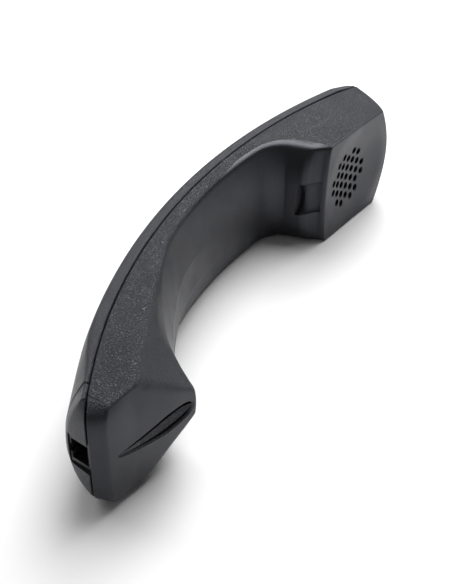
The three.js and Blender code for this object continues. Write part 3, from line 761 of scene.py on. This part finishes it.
class Recipe:
    """A Principled material, with short ways to add textures worked out from the piece's own
    coordinates. Sizes of features and heights of bumps are in millimetres."""

    def __init__(self, name, colour, roughness, metallic=0.0):
        self.made = bpy.data.materials.new(name)
        self.made.use_nodes = True
        self.tree = self.made.node_tree
        self.shader = self.tree.nodes["Principled BSDF"]
        self.shader.inputs["Base Color"].default_value = (*colour, 1)
        self.shader.inputs["Roughness"].default_value = roughness
        self.shader.inputs["Metallic"].default_value = metallic
        self.place = self.node("ShaderNodeTexCoord")

    def node(self, kind, inputs=(), **settings):
        """A node with its settings, and its inputs given as pairs of a name and a value or a
        socket to link from."""
        made = self.tree.nodes.new(kind)
        for key, value in settings.items():
            setattr(made, key, value)
        for key, value in inputs:
            if isinstance(value, bpy.types.NodeSocket):
                self.tree.links.new(value, made.inputs[key])
            else:
                made.inputs[key].default_value = value
        return made

    def noise(self, feature, detail=2.0, stretch=(1, 1, 1)):
        """Soft spots of about one size, which stretch can draw out along an axis."""
        mapping = self.node("ShaderNodeMapping", [("Vector", self.place.outputs["Object"]),
                                                  ("Scale", stretch)])
        return self.node("ShaderNodeTexNoise", [
            ("Vector", mapping.outputs["Vector"]), ("Scale", 1 / (feature * MM)),
            ("Detail", detail)]).outputs["Fac"]

    def cells(self, feature):
        """Distance from the middles of random cells."""
        return self.node("ShaderNodeTexVoronoi", [
            ("Vector", self.place.outputs["Object"]),
            ("Scale", 1 / (feature * MM))]).outputs["Distance"]

    def bands(self, pitch, direction):
        """Parallel ridges a pitch apart."""
        return self.node("ShaderNodeTexWave", [
            ("Vector", self.place.outputs["Object"]), ("Scale", math.pi / 10 / (pitch * MM))],
            bands_direction=direction).outputs["Fac"]

    def remap(self, value, from_low, from_high, to_low=0.0, to_high=1.0, smooth=False):
        """A value moved from one range to another, and held within it."""
        kind = "SMOOTHSTEP" if smooth else "LINEAR"
        return self.node("ShaderNodeMapRange", [
            ("Value", value), ("From Min", from_low), ("From Max", from_high),
            ("To Min", to_low), ("To Max", to_high)], interpolation_type=kind).outputs["Result"]

    def math(self, operation, a, b=0.0):
        """Two values put through an operation."""
        return self.node("ShaderNodeMath", [(0, a), (1, b)], operation=operation).outputs["Value"]

    def colours(self, value, *stops):
        """Base colour from a value, through pairs of a place and a colour."""
        ramp = self.node("ShaderNodeValToRGB", [("Fac", value)])
        while len(ramp.color_ramp.elements) < len(stops):
            ramp.color_ramp.elements.new(0.5)
        for element, (place_on_ramp, colour) in zip(ramp.color_ramp.elements, stops):
            element.position = place_on_ramp
            element.color = (*colour, 1)
        self.tree.links.new(ramp.outputs["Color"], self.shader.inputs["Base Color"])

    def roughen(self, value, low, high):
        """Roughness that varies with a value."""
        self.tree.links.new(self.remap(value, 0.3, 0.7, low, high), self.shader.inputs["Roughness"])

    def bumps(self, *layers):
        """Surface relief, from pairs of a value and a height."""
        before = []
        for value, height in layers:
            bump = self.node("ShaderNodeBump", [("Height", value), ("Distance", height * MM)] + before)
            before = [("Normal", bump.outputs["Normal"])]
        self.tree.links.new(before[0][1], self.shader.inputs["Normal"])


def shell_plastic(name, sides=1.0, elsewhere=0.1):
    """Black ABS, with a share of coarse spark-eroded grain on the flat sides and elsewhere. The
    grain's raised spots are painted lighter too: painted sparkle highlights, for light glinting
    off the grain. The side of the mouthpiece counts as flat over more of its turn than the side
    of the earpiece."""
    recipe = Recipe(name, (0.012, 0.0125, 0.015), 0.42)
    recipe.shader.inputs["Specular Tint"].default_value = (0.86, 0.88, 1.0, 1)
    spots = recipe.remap(recipe.noise(0.45, 3.0), 0.36, 0.64)
    fine = recipe.noise(0.16, 2.0)
    clouds = recipe.noise(9.0, 2.0)
    across = recipe.node("ShaderNodeSeparateXYZ", [("Vector", recipe.place.outputs["Normal"])])
    sideways = recipe.math("ABSOLUTE", across.outputs["Z"])
    along = recipe.node("ShaderNodeSeparateXYZ", [("Vector", recipe.place.outputs["Object"])])
    from_mouth = [recipe.remap(along.outputs["X"], -20 * MM, 20 * MM, mouth, ear)
                  for mouth, ear in ((0.45, 0.975), (0.96, 0.997))]
    side = recipe.remap(sideways, from_mouth[0], from_mouth[1], elsewhere, sides, True)
    amount = recipe.math("MULTIPLY", spots, side)
    grain_sparkle_and_tone = recipe.math("ADD", recipe.math("MULTIPLY", amount, 0.75),
                        recipe.math("MULTIPLY", clouds, 0.25))
    # Painted sparkle: the top stop paints the grain's raised spots far lighter than the black plastic,
    # standing in for glints of light.
    recipe.colours(grain_sparkle_and_tone, (0.15, (0.0085, 0.0088, 0.0105)), (0.6, (0.0115, 0.0120, 0.0145)),
                   (0.85, (0.075, 0.077, 0.086)))
    recipe.roughen(clouds, 0.38, 0.46)
    recipe.bumps((amount, 0.26), (fine, 0.015))
    return recipe.made


def moulded(name, colour, roughness, feature=0.3, relief=0.01):
    """Plain moulded plastic or rubber with a slight grain and uneven gloss."""
    recipe = Recipe(name, colour, roughness)
    clouds = recipe.noise(2.5, 3.0)
    recipe.colours(clouds, (0.3, [c * 0.8 for c in colour]), (0.7, [c * 1.2 for c in colour]))
    recipe.roughen(clouds, roughness - 0.06, roughness + 0.06)
    recipe.bumps((recipe.noise(feature, 3.0), relief))
    return recipe.made


def brushed(name, colour, roughness, stretch):
    """Worked metal with fine marks drawn out along one axis."""
    recipe = Recipe(name, colour, roughness, 1.0)
    marks = recipe.noise(0.12, 3.0, stretch)
    stains = recipe.noise(3.0, 3.0)
    recipe.colours(stains, (0.35, [c * 0.75 for c in colour]), (0.65, colour))
    recipe.roughen(marks, roughness - 0.1, roughness + 0.12)
    recipe.bumps((marks, 0.006))
    return recipe.made


def winding(name, colour):
    """Enamelled wire laid in turns along Y."""
    recipe = Recipe(name, colour, 0.3, 1.0)
    turns = recipe.bands(0.12, "Y")
    # Painted shade: the grooves between the turns are painted darker than the copper.
    recipe.colours(turns, (0.1, [c * 0.35 for c in colour]), (0.6, colour))
    recipe.bumps((turns, 0.04))
    return recipe.made


def circuit_board(name, colour):
    """Solder resist over tracks that show as slight ridges."""
    recipe = Recipe(name, colour, 0.3)
    tracks = recipe.remap(recipe.bands(1.6, "X"), 0.55, 0.65)
    recipe.colours(tracks, (0.2, [c * 0.7 for c in colour]), (0.8, [c * 1.3 for c in colour]))
    recipe.roughen(recipe.noise(0.6), 0.22, 0.4)
    recipe.bumps((tracks, 0.03), (recipe.noise(0.2), 0.004))
    return recipe.made


def woven(name, colour, pitch):
    """Fine cloth: threads over and under along X and Z."""
    recipe = Recipe(name, colour, 0.9)
    threads = recipe.math("MULTIPLY", recipe.bands(pitch, "X"), recipe.bands(pitch, "Z"))
    # Painted shade and highlight: the gaps between the threads are painted dark, the threads' crowns
    # lighter.
    recipe.colours(threads, (0.1, [c * 0.3 for c in colour]), (0.7, [c * 1.6 for c in colour]))
    recipe.bumps((threads, 0.05), (recipe.noise(0.1), 0.01))
    return recipe.made


def foam(name, colour):
    """Soft foam with open pores."""
    recipe = Recipe(name, colour, 0.95)
    pores = recipe.cells(0.35)
    # Painted shade: the hollows of the pores are painted darker than the foam between them.
    recipe.colours(pores, (0.1, [c * 0.3 for c in colour]), (0.6, [c * 1.5 for c in colour]))
    recipe.bumps((pores, 0.12))
    return recipe.made


def formed_film(name, colour):
    """Thin clear-tan film with soft drawn ripples."""
    recipe = Recipe(name, colour, 0.25)
    ripples = recipe.noise(1.2, 1.0)
    recipe.colours(ripples, (0.3, [c * 0.85 for c in colour]), (0.7, colour))
    recipe.roughen(ripples, 0.2, 0.32)
    recipe.bumps((ripples, 0.02))
    return recipe.made


def slot_materials():
    """One material for each slot that the record names."""
    return {
        "shell": shell_plastic("shell_black"),
        "rubber": moulded("rubber_black", (0.014, 0.014, 0.015), 0.75, 0.4, 0.02),
        "nylon": moulded("nylon_black", (0.016, 0.016, 0.018), 0.42),
        "steel": brushed("zinc_plated_steel", (0.55, 0.56, 0.58), 0.32, (0.08, 1, 1)),
        "dark_steel": brushed("phosphated_steel", (0.13, 0.135, 0.15), 0.5, (1, 1, 1)),
        "contact_gold": brushed("gold_flashed_wire", (0.83, 0.6, 0.22), 0.26, (0.05, 1, 1)),
        "copper": winding("copper_winding", (0.72, 0.32, 0.14)),
        "board": circuit_board("green_board", (0.03, 0.15, 0.06)),
        "film": formed_film("diaphragm_film", (0.55, 0.52, 0.42)),
        "cloth": woven("dust_cloth", (0.012, 0.012, 0.014), 0.22),
        "foam": foam("gasket_foam", (0.02, 0.02, 0.022)),
        "wire_red": moulded("insulation_red", (0.45, 0.035, 0.025), 0.35, 0.8, 0.006),
        "wire_black": moulded("insulation_black", (0.012, 0.012, 0.012), 0.35, 0.8, 0.006),
        "wire_white": moulded("insulation_white", (0.68, 0.67, 0.62), 0.35, 0.8, 0.006),
        "wire_green": moulded("insulation_green", (0.035, 0.24, 0.07), 0.35, 0.8, 0.006),
    }


def dress_nodes(finishes):
    """Gives every CAD node the material of its slot in the record."""
    for subpart in frame["record"]["subparts"]:
        mesh = frame["nodes"][subpart["node"]].data
        mesh.materials.clear()
        mesh.materials.append(finishes[subpart["material_slot"]])


# ------------------------------------------------------------------ stage

def look_along(azimuth, elevation, roll):
    """Camera axes (right, up, forward) for a heading, a look down and a roll, in degrees."""
    az, el, ro = (math.radians(v) for v in (azimuth, elevation, roll))
    right = Vector((math.cos(az), -math.sin(az), 0))
    forward = Vector((math.cos(el) * math.sin(az), math.cos(el) * math.cos(az), -math.sin(el)))
    up = right.cross(forward)
    turned_right = right * math.cos(ro) + up * math.sin(ro)
    turned_up = up * math.cos(ro) - right * math.sin(ro)
    return turned_right, turned_up, forward


def add_camera():
    """The camera, placed by the way to the earpiece holes."""
    heading, look_down, roll = CAMERA_ANGLES
    right, up, forward = look_along(heading, look_down, roll)
    level_right, level_up, _ = look_along(heading, look_down, 0.0)
    to_right, to_up, ahead = HOLES_FROM_CAMERA
    to_holes = level_right * to_right + level_up * to_up + forward * ahead
    eye = Vector(ORIGIN) - to_holes * HOLE_PITCH * MM
    data = bpy.data.cameras.new("camera")
    data.sensor_width = 36.0
    data.lens = CAMERA_LENS
    data.clip_start = 0.01
    camera = bpy.data.objects.new("camera", data)
    axes = Matrix((right, up, -forward)).transposed()
    camera.matrix_world = Matrix.Translation(eye) @ axes.to_4x4()
    bpy.context.scene.collection.objects.link(camera)
    bpy.context.scene.camera = camera


def softbox(name, location, target, size, power):
    """A square area light that faces its target."""
    data = bpy.data.lights.new(name, "AREA")
    data.shape = "SQUARE"
    data.size = size
    data.energy = power
    light = bpy.data.objects.new(name, data)
    light.location = location
    light.rotation_euler = (Vector(target) - Vector(location)).to_track_quat("-Z", "Y").to_euler()
    bpy.context.scene.collection.objects.link(light)


def add_world():
    """Weak even light from all round. The camera sees a paler backdrop in its place."""
    world = bpy.data.worlds.new("studio")
    bpy.context.scene.world = world
    world.use_nodes = True
    nodes, links = world.node_tree.nodes, world.node_tree.links
    background = nodes["Background"]
    background.inputs["Color"].default_value = (1, 1, 1, 1)
    background.inputs["Strength"].default_value = WORLD_LIGHT
    seen = nodes.new("ShaderNodeBackground")
    seen.inputs["Color"].default_value = (*BACKDROP, 1)
    path = nodes.new("ShaderNodeLightPath")
    mix = nodes.new("ShaderNodeMixShader")
    links.new(path.outputs["Is Camera Ray"], mix.inputs["Fac"])
    links.new(background.outputs["Background"], mix.inputs[1])
    links.new(seen.outputs["Background"], mix.inputs[2])
    links.new(mix.outputs["Shader"], nodes["World Output"].inputs["Surface"])


def add_floor():
    """A square of matt white paper just under the part."""
    corners = [(-1, -1), (1, -1), (1, 1), (-1, 1)]
    points = [(x * FLOOR_HALF, y * FLOOR_HALF, -FLOOR_GAP) for x, y in corners]
    floor = mesh_object("floor", points, [(0, 1, 2, 3)])
    paper = Recipe("floor_white", (0.93, 0.93, 0.93), 0.85)
    paper.roughen(paper.noise(3.0), 0.8, 0.9)
    floor.data.materials.append(paper.made)


def add_stage():
    add_world()
    add_floor()
    for name, settings in SOFTBOXES.items():
        softbox(name, *settings)
    bpy.context.scene.view_settings.view_transform = "Standard"


# ------------------------------------------------------------------ assembly

def add_shells(finishes):
    """The two visible shells, each in the place of its CAD node."""
    front, rear = front_shell(), rear_shell()
    front.data.materials.clear()
    front.data.materials.append(finishes["shell"])
    # The slot's copy is grained all over: its painted sparkle lightens the ledge, standing in for
    # light from above.
    front.data.materials.append(shell_plastic("shell_black_slot", 0.8, 0.8))
    sparkle_grain_slot_ledge(front)
    rear.data.materials.clear()
    rear.data.materials.append(shell_plastic("shell_black_rear", 0.5, 0.3))
    for made, node in ((front, "front_shell"), (rear, "rear_shell")):
        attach(made, "handset")
        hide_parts(node)


def main():
    add_camera()
    add_stage()
    finishes = slot_materials()
    dress_nodes(finishes)
    add_shells(finishes)


main()
